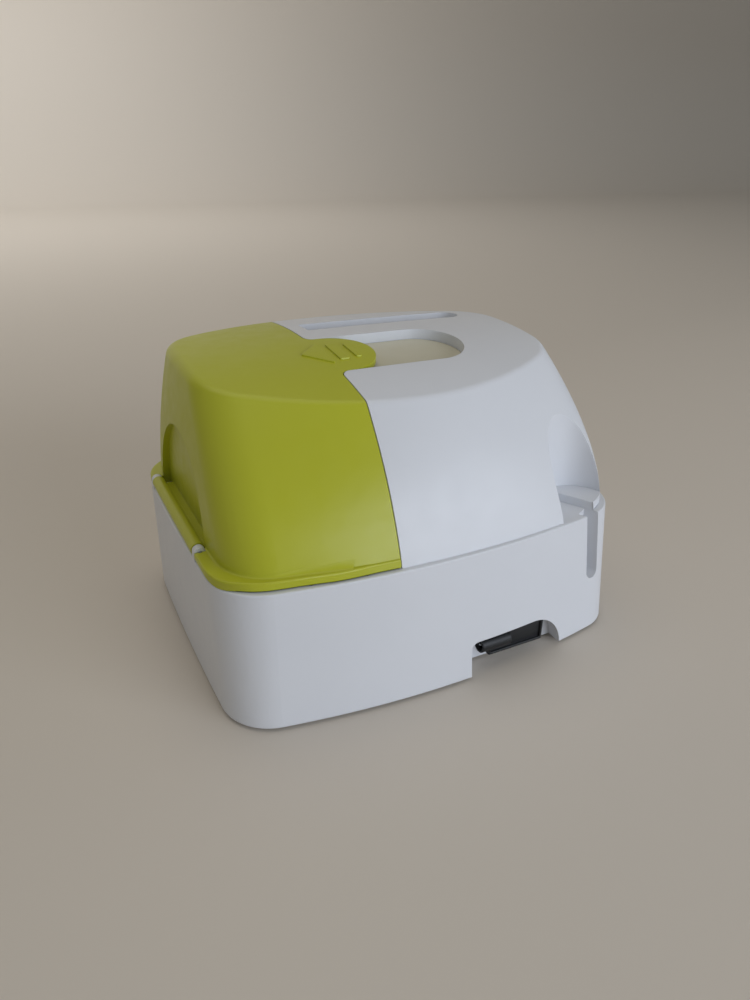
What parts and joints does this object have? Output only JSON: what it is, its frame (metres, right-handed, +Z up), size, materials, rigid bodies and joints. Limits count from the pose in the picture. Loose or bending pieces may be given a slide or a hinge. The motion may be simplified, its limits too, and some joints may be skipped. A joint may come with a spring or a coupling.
{
  "type": "formula dispenser",
  "caption": "Countertop baby formula powder dispenser: flared base, domed cover, hinged left-hand lid over a powder tub with a motor-driven metering wheel.",
  "frame": {"origin": "centre of the footprint, on the surface that the feet rest on", "axes": "+X along the long front to the right, +Y to the rear, +Z up; the hinged lid is on the left (-X)"},
  "size_m": [0.218, 0.1809, 0.144],
  "materials": {
    "white_housing": "satin moulded white ABS",
    "lime_lid": "satin moulded lime green ABS",
    "cream_plate": "satin cream ABS",
    "grey_plate": "matt grey ABS",
    "rubber": "black rubber",
    "silicone": "soft silicone",
    "clear_tub": "smoky clear plastic",
    "acetal": "natural acetal",
    "bronze": "sintered bronze",
    "steel": "ground steel",
    "black_plastic": "black plastic",
    "board": "solder-masked glass fibre board"
  },
  "bodies": {
    "housing": {"base_housing": "white_housing", "bottom_plate": "grey_plate", "bottom_screws": "steel", "cover_screws": "steel", "rubber_feet": "rubber", "hinge_pin": "steel", "top_cover": "white_housing", "pill_insert": "cream_plate", "powder_hopper": "clear_tub", "metering_pot": "acetal", "scraper_plate": "steel", "floor_bush": "bronze", "plate_bush": "bronze", "idler_pin": "steel", "outlet_chute": "acetal", "sub_plate": "grey_plate", "sub_plate_screws": "steel", "motor_screws": "steel", "gear_motor": "steel", "control_board": "board", "board_parts": "black_plastic", "dc_jack": "black_plastic", "connector_block": "black_plastic"},
    "lid": {"lid_shell": "lime_lid", "lid_liner": "white_housing", "lid_seal": "silicone"},
    "metering_unit": {"drive_shaft": "steel", "metering_wheel": "acetal", "agitator": "acetal", "drive_gear": "acetal"},
    "idler": {"idler_gear": "acetal"},
    "motor_output": {"motor_shaft": "steel", "motor_pinion": "acetal"}
  },
  "joints": [
    {"name": "lid_hinge", "type": "hinge", "parent": "housing", "child": "lid", "pos_m": [-0.1057, 0.0135, 0.06985], "axis": [0, -1, 0], "range_deg": [0, 100]},
    {"name": "metering_spin", "type": "hinge", "parent": "housing", "child": "metering_unit", "pos_m": [-0.062, 0.0135, 0.02], "axis": [0, 0, 1], "continuous": true},
    {"name": "idler_spin", "type": "hinge", "parent": "housing", "child": "idler", "pos_m": [-0.022, 0.0135, 0.0125], "axis": [0, 0, 1], "continuous": true},
    {"name": "motor_spin", "type": "hinge", "parent": "housing", "child": "motor_output", "pos_m": [0.013, 0.0135, 0.0125], "axis": [0, 0, 1], "continuous": true}
  ],
  "couplings": [
    {"joint": "idler_spin", "follows": "metering_spin", "ratio": -0.6},
    {"joint": "motor_spin", "follows": "metering_spin", "ratio": 1.5}
  ]
}
